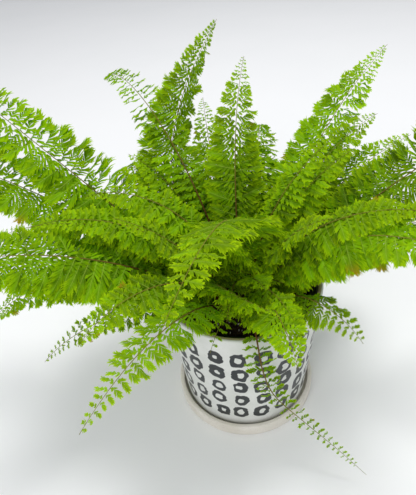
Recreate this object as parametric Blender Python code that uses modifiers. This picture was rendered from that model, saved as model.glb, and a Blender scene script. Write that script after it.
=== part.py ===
"""A Boston fern in a glazed pot that stands on its saucer.

The frame: +Z is up, the origin is the centre of the saucer's underside, and the pot's best side faces -Y.
Lengths are in metres and angles in degrees. A bearing of 0 points along +X and one of 90 along +Y.
"""
import math
from collections import namedtuple

import bmesh
import bpy
from mathutils import Quaternion, Vector
from mathutils.bvhtree import BVHTree

# ---------------------------------------------------------------- driving sizes
SEAT_GAP = 0.0003            # left between two pieces that rest on each other

POT_RIM_RADIUS = 0.075       # outside, at the lip
POT_BASE_RADIUS = 0.064      # outside, at the foot
POT_HEIGHT = 0.142
POT_WALL = 0.005
POT_FLOOR = 0.007
POT_FOOT_WIDTH = 0.009       # the unglazed ring that the pot stands on
POT_FOOT_LIFT = 0.002        # how far the underside is hollowed inside that ring
POT_DRAIN_RADIUS = 0.009
LIP_ROUND = 0.0016
BASE_ROUND = 0.004

SAUCER_HEIGHT = 0.015
SAUCER_FLOOR = 0.005
SAUCER_WALL = 0.0045
SAUCER_GAP = 0.0035          # between the pot's foot and the saucer's wall
SAUCER_ROUND = 0.0035

LINER_WALL = 0.0011          # the black nursery pot inside the glazed one
LINER_FLOOR = 0.0014
LINER_GAP = 0.0016           # between the nursery pot's lip and the glazed wall
LINER_BELOW_RIM = 0.005
LINER_LIP_WIDTH = 0.0026
LINER_LIP_DEPTH = 0.0060
LINER_HOLE_RADIUS = 0.0045
LINER_HOLE_CIRCLE = 0.036    # radius of the circle that its drain holes lie on
LINER_HOLES = 6

SOIL_BELOW_LIP = 0.013
SOIL_DIMPLE = 0.003          # how far the soil falls from the crown to the liner's wall

CROWN_RADIUS = 0.034         # the scaly clump of rhizomes that the fronds rise from
CROWN_HEIGHT = 0.016

STALK_RADIUS = 0.0012        # a bare stalk, at the crown
STALK_SHARE = 0.16           # of a frond's length that bears no leaflets
RIB_DEPTH = 0.0011           # thickness of a blade along its midrib, near the tip
TEETH = 14                   # pairs of teeth along a blade
TOOTH_SWEEP = 0.25           # how far a tooth points forward, as a share of its length
NOTCH_SHARE = 0.30           # width between two teeth, as a share of the blade's
LEAF_GAP = 0.0003            # left between two fronds
FLOOR_GAP = 0.002            # left between a hanging frond and the table
TURN_STEPS = 48              # flats round the glazed pieces

# A frond: where it points, how steeply it rises, how far it bends over, its length, the reach of its
# leaflets to each side, how far it swings sideways, how far its leaflets hang, and its roll.
Frond = namedtuple("Frond", "bearing lift arch length reach sway fold roll", defaults=(0, 25, 0))

# The fronds that give the plant its outline: the two tallest, then from the left round the back to the front.
LEADING_FRONDS = [
    Frond(151, 50, -4, 0.258, 0.026, sway=-138, fold=20),
    Frond(132, 62, 104, 0.314, 0.024, sway=-14, fold=15, roll=-20),
    Frond(169, 46, 9, 0.325, 0.034, sway=-10, fold=15, roll=-35),
    Frond(174, 44, 28, 0.325, 0.031, sway=-1, fold=15, roll=-30),
    Frond(177, 58, 86, 0.220, 0.020, sway=5, fold=20),
    Frond(196, 46, 62, 0.290, 0.034, fold=30, roll=-20),
    Frond(210, 32, 78, 0.165, 0.018, sway=-12, fold=20),
    Frond(246, 50, 74, 0.198, 0.026, sway=-8, fold=10),
    Frond(95, 79, 47, 0.202, 0.022, sway=-20, fold=15),
    Frond(109, 66, 52, 0.185, 0.020, sway=-15, fold=20),
    Frond(48, 56, 32, 0.248, 0.027, sway=-7, fold=25),
    Frond(31, 56, 38, 0.188, 0.026, sway=-8, fold=25),
    Frond(5, 49, 40, 0.325, 0.034, sway=6, fold=15, roll=30),
    Frond(-27, 66, 97, 0.212, 0.030, sway=-5, fold=35),
    Frond(-45, 52, 98, 0.112, 0.026, fold=40),
    Frond(-88, 82, 107, 0.248, 0.036, sway=-24, fold=5),
    Frond(20, 74, 52, 0.145, 0.024, fold=20),
    Frond(187, 62, 80, 0.185, 0.022, fold=20),
    Frond(172, 78, 100, 0.170, 0.022, fold=25),
    Frond(-72, 62, 118, 0.118, 0.026, fold=20),
    Frond(-125, 66, 84, 0.130, 0.026, sway=105, fold=25),
    Frond(-8, 68, 76, 0.175, 0.026, fold=30),
    Frond(38, 66, 60, 0.190, 0.026, fold=25),
    Frond(225, 60, 100, 0.160, 0.024, fold=20),
]

# Rings of fronds that fill the plant, each spread evenly over its span of bearings.
Ring = namedtuple("Ring", "count first last lift arch length reach")
FILLING_RINGS = [
    Ring(6, 20, 320, 78, 50, 0.140, 0.022),
    Ring(7, 28, 176, 54, 78, 0.195, 0.027),
    Ring(6, 5, 185, 44, 72, 0.190, 0.027),
    Ring(5, 40, 170, 28, 66, 0.160, 0.024),
    Ring(4, -150, -25, 66, 90, 0.085, 0.020),
]

# The thin stem that hangs over the lip and down the front of the pot, from its root to its tip: a
# bearing, how far outside the pot's wall it lies, and a height as a share of the rim's.
TRAILING_ROUTE = [
    (-83, -0.018, 1.08),
    (-83, 0.006, 1.07),
    (-81, 0.017, 0.87),
    (-75, 0.022, 0.64),
    (-63, 0.037, 0.43),
    (-54, 0.066, 0.26),
    (-49, 0.092, 0.10),
]
TRAILING_REACH = 0.016
TRAILING_LIFT = 45

# ---------------------------------------------------------------- sizes that follow from them
POT_BOTTOM = SAUCER_FLOOR + SEAT_GAP
POT_TOP = POT_BOTTOM + POT_HEIGHT
POT_INNER_FLOOR = POT_BOTTOM + POT_FLOOR
LINER_BOTTOM = POT_INNER_FLOOR + SEAT_GAP
LINER_TOP = POT_TOP - LINER_BELOW_RIM
SOIL_TOP = LINER_TOP - SOIL_BELOW_LIP
SOIL_BOTTOM = LINER_BOTTOM + LINER_FLOOR + SEAT_GAP
CROWN_BASE = SOIL_TOP + SEAT_GAP


def pot_radius(z):
    """The glazed pot's outer radius at a height."""
    share = (z - POT_BOTTOM) / POT_HEIGHT
    return POT_BASE_RADIUS + (POT_RIM_RADIUS - POT_BASE_RADIUS) * share


def liner_radius(z):
    """The nursery pot's outer radius at a height: its lip clears the glazed wall."""
    return pot_radius(z) - POT_WALL - LINER_GAP - LINER_LIP_WIDTH


def soil_radius(z):
    return liner_radius(z) - LINER_WALL - SEAT_GAP


# ---------------------------------------------------------------- scene, materials and objects
for old in list(bpy.data.objects):
    bpy.data.objects.remove(old, do_unlink=True)

parts = bpy.data.collections.new("potted_fern")
cutters = bpy.data.collections.new("cutters")
bpy.context.scene.collection.children.link(parts)
bpy.context.scene.collection.children.link(cutters)


def new_material(name, colour, roughness):
    material = bpy.data.materials.new(name)
    material.use_nodes = True
    shader = material.node_tree.nodes["Principled BSDF"]
    shader.inputs["Base Color"].default_value = (*colour, 1.0)
    shader.inputs["Roughness"].default_value = roughness
    shader.inputs["Metallic"].default_value = 0.0
    return material


GLAZE = new_material("white_glaze", (0.60, 0.61, 0.59), 0.45)
STONEWARE = new_material("cream_stoneware", (0.55, 0.50, 0.42), 0.70)
BLACK_PLASTIC = new_material("black_nursery_plastic", (0.012, 0.013, 0.015), 0.45)
SOIL = new_material("potting_soil", (0.020, 0.014, 0.010), 0.95)
RHIZOME = new_material("brown_rhizome", (0.060, 0.030, 0.014), 0.85)
LEAF = new_material("fern_green", (0.16, 0.38, 0.02), 0.55)


def add_object(name, mesh, material=None, collection=parts):
    thing = bpy.data.objects.new(name, mesh)
    if material is not None:
        mesh.materials.append(material)
    collection.objects.link(thing)
    return thing


def rounded(corners, steps=3):
    """An outline whose corners (x, z, radius) become arcs of that radius; it is open, ends included."""
    outline = []
    for index, (x, z, radius) in enumerate(corners):
        corner = Vector((x, 0.0, z))
        if radius == 0.0:
            outline.append(corner)
            continue
        before = Vector((corners[index - 1][0], 0.0, corners[index - 1][1])) - corner
        after_x, after_z, _ = corners[(index + 1) % len(corners)]
        after = Vector((after_x, 0.0, after_z)) - corner
        half_angle = before.angle(after) / 2.0
        start = corner + before.normalized() * radius / math.tan(half_angle)
        centre = corner + (before.normalized() + after.normalized()).normalized() * radius / math.sin(half_angle)
        end = corner + after.normalized() * radius / math.tan(half_angle)
        turn = (start - centre).rotation_difference(end - centre)
        for step in range(steps + 1):
            outline.append(centre + Quaternion().slerp(turn, step / steps) @ (start - centre))
    return outline


def turned(name, outline, material, steps=TURN_STEPS, closed=True, collection=parts):
    """A solid of revolution: a profile at +X that runs down its outer side, turned by a Screw modifier."""
    mesh = bpy.data.meshes.new(name)
    edges = [(index, index + 1) for index in range(len(outline) - 1)]
    if closed:
        edges.append((len(outline) - 1, 0))
    mesh.from_pydata(outline, edges, [])
    thing = add_object(name, mesh, material, collection)
    screw = thing.modifiers.new("turn", "SCREW")
    screw.steps = steps
    screw.render_steps = steps
    screw.use_merge_vertices = True
    screw.merge_threshold = 0.00005
    return thing


# ---------------------------------------------------------------- the pot and what it holds
def make_saucer():
    """A low straight-walled dish of solid stoneware."""
    inner = POT_BASE_RADIUS + SAUCER_GAP
    outer = inner + SAUCER_WALL
    soften = SAUCER_WALL / 3.0
    outline = rounded([
        (0.0, SAUCER_FLOOR, 0.0),
        (inner, SAUCER_FLOOR, 0.0),
        (inner, SAUCER_HEIGHT, soften),
        (outer, SAUCER_HEIGHT, soften),
        (outer, 0.0, SAUCER_ROUND),
        (0.0, 0.0, 0.0),
    ])
    return turned("saucer", outline, STONEWARE, closed=False)


def make_pot():
    """The glazed pot: a tapered wall, a hollowed foot and a drain hole."""
    foot_top = POT_BOTTOM + POT_FOOT_LIFT
    outline = rounded([
        (POT_RIM_RADIUS - POT_WALL, POT_TOP, LIP_ROUND),
        (POT_RIM_RADIUS, POT_TOP, LIP_ROUND),
        (POT_BASE_RADIUS, POT_BOTTOM, BASE_ROUND),
        (POT_BASE_RADIUS - POT_FOOT_WIDTH, POT_BOTTOM, 0.0),
        (POT_BASE_RADIUS - POT_FOOT_WIDTH, foot_top, 0.0),
        (POT_DRAIN_RADIUS, foot_top, 0.0),
        (POT_DRAIN_RADIUS, POT_INNER_FLOOR, 0.0),
        (pot_radius(POT_INNER_FLOOR) - POT_WALL, POT_INNER_FLOOR, 0.0),
    ])
    return turned("ceramic_pot", outline, GLAZE)


def make_nursery_pot():
    """The thin black pot that the plant was grown in, with a turned lip and drain holes in its floor."""
    lip_foot = LINER_TOP - LINER_LIP_DEPTH
    lip_outer = liner_radius(LINER_TOP) + LINER_LIP_WIDTH
    outline = [
        Vector((0.0, 0.0, LINER_BOTTOM + LINER_FLOOR)),
        Vector((liner_radius(LINER_BOTTOM) - LINER_WALL, 0.0, LINER_BOTTOM + LINER_FLOOR)),
        Vector((liner_radius(LINER_TOP) - LINER_WALL, 0.0, LINER_TOP)),
        Vector((lip_outer, 0.0, LINER_TOP)),
        Vector((lip_outer, 0.0, lip_foot)),
        Vector((liner_radius(lip_foot), 0.0, lip_foot)),
        Vector((liner_radius(LINER_BOTTOM), 0.0, LINER_BOTTOM)),
        Vector((0.0, 0.0, LINER_BOTTOM)),
    ]
    liner = turned("nursery_pot", outline, BLACK_PLASTIC, closed=False)
    for index in range(LINER_HOLES):
        angle = math.tau * index / LINER_HOLES
        shape = bmesh.new()
        bmesh.ops.create_cone(shape, cap_ends=True, segments=12, radius1=LINER_HOLE_RADIUS,
                              radius2=LINER_HOLE_RADIUS, depth=LINER_FLOOR * 4)
        mesh = bpy.data.meshes.new(f"drain_cutter_{index + 1}")
        shape.to_mesh(mesh)
        shape.free()
        cutter = add_object(mesh.name, mesh, collection=cutters)
        cutter.location = (LINER_HOLE_CIRCLE * math.cos(angle), LINER_HOLE_CIRCLE * math.sin(angle),
                           LINER_BOTTOM + LINER_FLOOR / 2)
        cutter.hide_render = True
        cutter.display_type = "WIRE"
        cut = liner.modifiers.new(f"drain_{index + 1}", "BOOLEAN")
        cut.operation = "DIFFERENCE"
        cut.object = cutter
    return liner


def make_soil():
    """Peaty compost that fills the nursery pot and falls a little towards its wall."""
    edge_top = SOIL_TOP - SOIL_DIMPLE
    flat_radius = CROWN_RADIUS + SOIL_DIMPLE
    outline = [
        Vector((0.0, 0.0, SOIL_TOP)),
        Vector((flat_radius, 0.0, SOIL_TOP)),
        Vector((soil_radius(edge_top), 0.0, edge_top)),
        Vector((soil_radius(SOIL_BOTTOM), 0.0, SOIL_BOTTOM)),
        Vector((0.0, 0.0, SOIL_BOTTOM)),
    ]
    return turned("potting_soil", outline, SOIL, closed=False)


def make_crown(arc_steps=6):
    """The low mound of rhizome that the stalks rise from."""
    outline = []
    for step in range(arc_steps + 1):
        angle = math.radians(90.0 * (1.0 - step / arc_steps))
        height = CROWN_BASE + CROWN_HEIGHT * math.sin(angle)
        outline.append(Vector((CROWN_RADIUS * math.cos(angle), 0.0, height)))
    outline[0].x = 0.0
    outline.append(Vector((0.0, 0.0, CROWN_BASE)))
    return turned("rhizome_crown", outline, RHIZOME, steps=32, closed=False)


# ---------------------------------------------------------------- the fronds
def direction(bearing, lift):
    """The unit vector that points along a bearing and a lift."""
    turn, rise = math.radians(bearing), math.radians(lift)
    return Vector((math.cos(rise) * math.cos(turn), math.cos(rise) * math.sin(turn), math.sin(rise)))


def crown_root(bearing, lift):
    """Where a stalk leaves the crown, so that it stands square on the mound there."""
    rise = math.radians(lift)
    slope = math.atan2(math.sin(rise) * CROWN_HEIGHT, math.cos(rise) * CROWN_RADIUS)
    out = CROWN_RADIUS * math.cos(slope)
    foot = direction(bearing, 0.0) * out
    foot.z = CROWN_BASE + CROWN_HEIGHT * math.sin(slope)
    return foot + direction(bearing, lift) * SEAT_GAP


def arched_midrib(frond, steps=60):
    """The midrib of a frond as closely spaced points: it rises, then bends over more and more."""
    points = [crown_root(frond.bearing, frond.lift)]
    for step in range(steps):
        share = (step + 0.5) / steps
        heading = direction(frond.bearing + frond.sway * share, frond.lift - frond.arch * share ** 1.4)
        points.append(points[-1] + heading * frond.length / steps)
    return points


def smooth_route(knots, steps=10):
    """A Catmull-Rom curve through the knots."""
    ends = [knots[0] * 2 - knots[1], *knots, knots[-1] * 2 - knots[-2]]
    points = [knots[0]]
    for before, start, stop, after in zip(ends, ends[1:], ends[2:], ends[3:]):
        for step in range(1, steps + 1):
            t = step / steps
            points.append(0.5 * (2 * start + (stop - before) * t
                                 + (2 * before - 5 * start + 4 * stop - after) * t ** 2
                                 + (3 * start - before - 3 * stop + after) * t ** 3))
    return points


def trailing_midrib():
    """The midrib of the stem that hangs down the pot's front."""
    knots = [crown_root(TRAILING_ROUTE[0][0], TRAILING_LIFT)]
    for bearing, out, height in TRAILING_ROUTE:
        knot = direction(bearing, 0.0) * (pot_radius(height * POT_TOP) + out)
        knot.z = height * POT_TOP
        knots.append(knot)
    return smooth_route(knots)


def blade_width(share):
    """A blade's width along its length, as a share of its widest: parallel sides and a tapering tip."""
    return (0.55 + 0.45 * min(1.0, share / 0.25)) * (1.0 - share ** 2.2) ** 0.8


def point_along(points, share):
    """The place and the direction at a share of a midrib's length."""
    place = share * (len(points) - 1)
    index = min(int(place), len(points) - 2)
    step = points[index + 1] - points[index]
    return points[index] + step * (place - index), step.normalized()


def loft_blade(points, reach, fold, roll, spare=0.0):
    """A frond's closed solid: four-cornered sections, wide at a pair of teeth and narrow between them.

    spare makes it that much thicker and wider, to test the room round it.
    """
    shares = [(STALK_SHARE * step / 3, STALK_RADIUS, 0.0) for step in range(4)]
    for half in range(1, 2 * TEETH):
        along = half / (2 * TEETH)
        width = reach * blade_width(along)
        if half % 2 == 0:
            width *= NOTCH_SHARE
        shares.append((STALK_SHARE + (1.0 - STALK_SHARE) * along, max(width, STALK_RADIUS), along))
    side = direction(math.degrees(math.atan2((points[1] - points[0]).y, (points[1] - points[0]).x)) - 90.0, 0.0)
    corners = []
    for share, width, along in shares:
        centre, forward = point_along(points, share)
        side = (side - forward * side.dot(forward)).normalized()
        rolled = Quaternion(forward, math.radians(roll * share)) @ side
        up = rolled.cross(forward)
        depth = STALK_RADIUS + (RIB_DEPTH / 2 - STALK_RADIUS) * along + spare
        droop = math.radians(fold) * min(1.0, width / reach)
        sweep = forward * (width - STALK_RADIUS) * TOOTH_SWEEP
        fall = up * (width + spare) * math.sin(droop)
        out = rolled * (width + spare) * math.cos(droop)
        corners.append([centre + out - fall + sweep, centre + up * depth,
                        centre - out - fall + sweep, centre - up * depth])
    vertices = [corner for section in corners for corner in section]
    faces = [(0, 1, 2, 3)]
    for section in range(len(corners) - 1):
        for edge in range(4):
            here, there = 4 * section + edge, 4 * section + (edge + 1) % 4
            # both skins of a wing fold along one line, from its side corner to the next rib corner
            side_corner, next_rib = (here, there + 4) if edge % 2 == 0 else (there, here + 4)
            faces += [(there, here, next_rib), (side_corner, here + 4, there + 4)]
    base = len(vertices) - 4
    tip, _ = point_along(points, 1.0)
    vertices.append(tip)
    faces += [(base + (edge + 1) % 4, base + edge, len(vertices) - 1) for edge in range(4)]
    return vertices, faces


def surface_tree(thing):
    """A search tree over an object's finished surface."""
    return BVHTree.FromObject(thing, bpy.context.evaluated_depsgraph_get())


def nudges():
    """Small turns and tilts for a crowded frond, the smallest first."""
    steps = [(turn, tilt, roll) for turn in range(-30, 31, 3) for tilt in range(-12, 13, 3)
             for roll in (-24, 0, 24)]
    return sorted(steps, key=lambda step: abs(step[0]) + 1.5 * abs(step[1]) + 0.3 * abs(step[2]))


def has_room(points, frond, taken):
    """Whether a frond here would touch nothing and clear the table."""
    vertices, faces = loft_blade(points, frond.reach, frond.fold, frond.roll, LEAF_GAP)
    if min(vertex.z for vertex in vertices) < FLOOR_GAP:
        return False
    tree = BVHTree.FromPolygons(vertices, faces)
    return not any(tree.overlap(other) for other in taken)


def grown(wanted, taken):
    """The frond as it grows: the nearest place to the wanted one that has room, shorter if none has."""
    while True:
        for turn, tilt, roll in nudges():
            frond = wanted._replace(bearing=wanted.bearing + turn, lift=min(wanted.lift + tilt, 86),
                                    roll=wanted.roll + roll)
            points = arched_midrib(frond)
            if has_room(points, frond, taken):
                return points, frond
        wanted = wanted._replace(length=wanted.length * 0.9)


def add_frond(name, points, frond, taken):
    vertices, faces = loft_blade(points, frond.reach, frond.fold, frond.roll)
    mesh = bpy.data.meshes.new(name)
    mesh.from_pydata(vertices, [], faces)
    add_object(name, mesh, LEAF)
    taken.append(BVHTree.FromPolygons(vertices, faces))


def ring_fronds():
    """The filling fronds, ring by ring, with lengths and arches that alternate a little."""
    for ring in FILLING_RINGS:
        for index in range(ring.count):
            bearing = ring.first + (ring.last - ring.first) * index / (ring.count - 1)
            swing = (-1) ** index
            yield Frond(bearing, ring.lift + 3 * swing, ring.arch + 8 * swing, ring.length * (1 + 0.08 * swing),
                        ring.reach, sway=8 * swing, fold=25 + 8 * swing)


def make_fronds(obstacles):
    """Every frond in turn, each where the ones before it leave room."""
    taken = [surface_tree(thing) for thing in obstacles]
    hanging = Frond(0, 0, 0, 0, TRAILING_REACH, fold=10)
    add_frond("frond_01", trailing_midrib(), hanging, taken)
    for number, wanted in enumerate([*LEADING_FRONDS, *ring_fronds()], start=2):
        points, frond = grown(wanted, taken)
        add_frond(f"frond_{number:02d}", points, frond, taken)


obstacles = [make_saucer(), make_pot(), make_nursery_pot(), make_soil(), make_crown()]
bpy.context.view_layer.update()
make_fronds(obstacles)
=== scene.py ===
import math

import bmesh
import bpy
import numpy as np
from mathutils import Matrix, Vector, noise


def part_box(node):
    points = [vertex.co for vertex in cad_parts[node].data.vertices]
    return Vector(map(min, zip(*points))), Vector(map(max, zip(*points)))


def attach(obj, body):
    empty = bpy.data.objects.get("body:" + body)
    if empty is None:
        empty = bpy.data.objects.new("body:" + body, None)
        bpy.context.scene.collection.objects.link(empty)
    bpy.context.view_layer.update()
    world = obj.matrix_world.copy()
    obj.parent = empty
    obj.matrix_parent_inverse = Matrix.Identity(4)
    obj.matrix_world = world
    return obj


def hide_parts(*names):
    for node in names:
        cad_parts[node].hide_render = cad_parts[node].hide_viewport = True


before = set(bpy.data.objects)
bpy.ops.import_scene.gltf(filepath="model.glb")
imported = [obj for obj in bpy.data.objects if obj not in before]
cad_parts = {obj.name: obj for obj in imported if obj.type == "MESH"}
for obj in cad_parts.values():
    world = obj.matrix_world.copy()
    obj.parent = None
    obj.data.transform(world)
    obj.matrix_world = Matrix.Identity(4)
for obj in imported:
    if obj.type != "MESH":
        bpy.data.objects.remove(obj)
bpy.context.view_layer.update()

MM = 0.001

# ---------------------------------------------------------------- the bench maker's sizes
WHEEL_STEPS = 144            # flats round a thrown piece, fine enough to look round
LONGEST_RUN = 6 * MM         # a thrown wall is divided at least this finely
THROWING_WOBBLE = 0.15 * MM  # how far a hand-thrown wall strays from a true circle
WOBBLE_FADE = 20 * MM        # nearer the axis than this the wobble dies away
AXIS_GAP = 0.2 * MM          # a solid turned piece stops this short of its own axis
LIP_ROUND = 1.7 * MM
FOOT_ROUND = 4.0 * MM
SAUCER_ROUND = 3.2 * MM
NURSERY_WALL = 1.1 * MM
NURSERY_FLOOR = 1.4 * MM
DRAIN_HOLES = 6
DRAIN_CIRCLE = 36 * MM       # the drain holes' middles stand on this radius
DRAIN_BORE = 4.5 * MM        # a drain hole's radius

CRUMBS = 460                 # loose crumbs on the compost; every sixth is perlite
CROWN_SCALES = 520

PINNA_PITCH = 6.8 * MM       # from one pair of leaflets to the next along a frond
PINNA_SHAPE = 0.60           # a leaflet's width as a share of its length
PINNA_WIDEST = 16.5 * MM
PINNA_NARROWEST = 4.0 * MM
PINNA_SHORTEST = 2.0 * MM    # a frond too narrow for this carries no leaflet there
LEAFLET_ARCH = 0.16          # how far a leaflet's margins fall below its rib, as a share of its width
LOBE_PITCH = 2.7 * MM        # from one lobe of a leaflet to the next
LOBE_SLANT = (92, 54)        # degrees from the leaflet's own rib, at its base and further out
BACK_RANK_LIFT = 0.6         # how far the leaflets on a frond's far side stand up, as a share of their length
OLD_FROND_HEIGHT = 200 * MM  # fronds whose tips hang below this are older, and a darker green
YOUNG_FRONDS = 18
RACHIS_ROOT = 0.85 * MM
RACHIS_TIP = 0.18 * MM
RACHIS_SIDES = 6

RING_COLUMNS = 21            # painted rings round the pot
RING_BEARING = -94.0         # degrees: one column of rings stands here
RING_ROWS = 5
RING_PITCH = 22.1 * MM       # from one row to the next
RING_TOP = 120.8 * MM        # height of the top row's middle
RING_RADIUS = 7.6 * MM
RING_HOLE = 3.0 * MM
RING_TALLNESS = 1.27         # a ring's height as a share of its width
BRUSH_WANDER = 6.0 * MM      # how far the brush strays within a ring
RING_JOG = 2.4 * MM          # how far a whole ring stands from its place
HOLE_JOG = 2.2 * MM          # how far a ring's hole stands from the ring's middle

CAMERA_PLACE = (0.0, -0.310, 0.430)
CAMERA_TURN = (38.1, -5.1, -5.75)   # degrees: tipped down, turned and rolled
LENS_ANGLE = 49.6149                # degrees across

rng = np.random.default_rng(7)


# ---------------------------------------------------------------- colours and nodes
def linear(hex_colour):
    """An sRGB hex colour as linear RGBA."""
    channels = [int(hex_colour[i:i + 2], 16) / 255 for i in (1, 3, 5)]
    return (*[c / 12.92 if c <= 0.04045 else ((c + 0.055) / 1.055) ** 2.4 for c in channels], 1.0)


COLOUR_A, COLOUR_B = 6, 7   # a Mix node's two colour inputs


def add(tree, kind, inputs=(), **settings):
    """Adds a shader node. Settings are its properties. Inputs are a list in socket order or a dictionary by
    name or number: plain values, sockets, or nodes, which feed it by their first live output."""
    made = tree.nodes.new("ShaderNode" + kind)
    for name, value in settings.items():
        setattr(made, name, value)
    for name, value in (inputs.items() if isinstance(inputs, dict) else enumerate(inputs)):
        if isinstance(value, bpy.types.Node):
            value = next(socket for socket in value.outputs if socket.enabled)
        if isinstance(value, bpy.types.NodeSocket):
            tree.links.new(value, made.inputs[name])
        else:
            made.inputs[name].default_value = value
    return made


def new_material(name):
    """An empty node material, its tree, and the place on the piece that its patterns are drawn from."""
    material = bpy.data.materials.new(name)
    material.use_nodes = True
    tree = material.node_tree
    tree.nodes.clear()
    return material, tree, add(tree, "TexCoord").outputs["Object"]


# ---------------------------------------------------------------- finishes
def leaf_blade():
    """Living fern blade: thin, satin and lit through; young tips are yellow; lobe tips are paler, partly
    their own colour and partly painted light, and lobe roots by the rib keep the darker base green as painted
    shade.
    """
    material, tree, where = new_material("fern_leaf_blade")
    along, edge, tone, rib, dry = [add(tree, "Attribute", attribute_name=name).outputs["Fac"]
                                   for name in ("along", "edge", "tone", "rib", "dry")]
    mottle = add(tree, "TexNoise", {"Vector": where, "Scale": 1 / (6 * MM), "Detail": 3.0})
    depth = add(tree, "Math", [mottle, 0.5], operation="MULTIPLY")
    depth = add(tree, "Math", [tone, 0.55, depth], operation="MULTIPLY_ADD")
    depth = add(tree, "MapRange", [depth, 0.15, 0.85, 0.0, 1.0], interpolation_type="SMOOTHSTEP")
    green = add(tree, "Mix", {0: depth, COLOUR_A: linear("#144600"), COLOUR_B: linear("#7ab400")},
                data_type="RGBA")
    # paler towards the lobes' tips: partly the leaf's own pale margin, partly painted light on the tips and
    # painted shade at the roots by the rib
    pale_tips_and_painted_light = add(tree, "Math", [edge, 1.5], operation="POWER")
    pale_tips_and_painted_light = add(tree, "Math", [pale_tips_and_painted_light, 0.85], operation="MULTIPLY")
    young = add(tree, "Math", [along, 2.0], operation="POWER")
    pale = add(tree, "Math", [young, 0.35, pale_tips_and_painted_light], operation="MULTIPLY_ADD", use_clamp=True)
    green = add(tree, "Mix", {0: pale, COLOUR_A: green, COLOUR_B: linear("#c6e612")}, data_type="RGBA")
    vein = add(tree, "Math", [rib, 0.6], operation="MULTIPLY")
    green = add(tree, "Mix", {0: vein, COLOUR_A: green, COLOUR_B: linear("#b9cf4e")}, data_type="RGBA")
    green = add(tree, "Mix", {0: dry, COLOUR_A: green, COLOUR_B: linear("#b07a22")}, data_type="RGBA")
    face = add(tree, "BsdfPrincipled", {"Base Color": green, "Roughness": 0.55, "IOR": 1.3,
                                        "Specular IOR Level": 0.10})
    glow = add(tree, "Mix", {0: 0.5, COLOUR_A: green, COLOUR_B: linear("#7fce00")}, data_type="RGBA")
    through = add(tree, "BsdfTranslucent", {"Color": glow})
    both = add(tree, "MixShader", [0.32, face, through])
    add(tree, "OutputMaterial", {"Surface": both})
    return material


def leaf_stalk():
    """Fern rachis: woody red-brown and scurfy near the crown, turning waxy yellow-green towards the tip."""
    material, tree, where = new_material("fern_rachis_bark")
    along = add(tree, "Attribute", attribute_name="along").outputs["Fac"]
    scurf = add(tree, "TexNoise", {"Vector": where, "Scale": 1 / (1.4 * MM), "Detail": 3.0})
    patchy = add(tree, "Math", [scurf, 0.5], operation="SUBTRACT")
    turn = add(tree, "Math", [patchy, 0.25, along], operation="MULTIPLY_ADD")
    turn = add(tree, "MapRange", [turn, 0.12, 0.7, 0.0, 1.0], interpolation_type="SMOOTHSTEP")
    bark = add(tree, "Mix", {0: scurf, COLOUR_A: linear("#3a1c10"), COLOUR_B: linear("#6e3f22")},
               data_type="RGBA")
    wax = add(tree, "Mix", {0: scurf, COLOUR_A: linear("#6a6a1c"), COLOUR_B: linear("#8f8c34")},
              data_type="RGBA")
    colour = add(tree, "Mix", {0: turn, COLOUR_A: bark, COLOUR_B: wax}, data_type="RGBA")
    rough = add(tree, "Bump", {"Height": scurf, "Strength": 1.0, "Distance": 0.15 * MM})
    face = add(tree, "BsdfPrincipled", {"Base Color": colour, "Roughness": 0.6, "IOR": 1.4,
                                        "Specular IOR Level": 0.15, "Normal": rough})
    add(tree, "OutputMaterial", {"Surface": face})
    return material


def squarish_reach(tree, across, down, size):
    """How far out a point lies, as a share of a squarish circle's size."""
    sides = [add(tree, "Math", [value], operation="ABSOLUTE") for value in (across, down)]
    powers = [add(tree, "Math", [side, 2.5], operation="POWER") for side in sides]
    total = add(tree, "Math", powers, operation="ADD")
    reach = add(tree, "Math", [total, 0.4], operation="POWER")
    return add(tree, "Math", [reach, size], operation="DIVIDE")


def brush_stray(tree, where, luck):
    """How far the brush strays, across and down: a wander within the ring and a jog of the whole ring."""
    fray = add(tree, "TexNoise", {"Vector": where, "Scale": 1 / (7 * MM), "Detail": 1.5}).outputs["Color"]
    middle = [-(BRUSH_WANDER + RING_JOG) / 2] * 3
    stray = add(tree, "VectorMath", [luck, [RING_JOG] * 3, middle], operation="MULTIPLY_ADD")
    stray = add(tree, "VectorMath", [fray, [BRUSH_WANDER] * 3, stray], operation="MULTIPLY_ADD")
    return add(tree, "SeparateXYZ", [stray]).outputs[:2]


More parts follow.
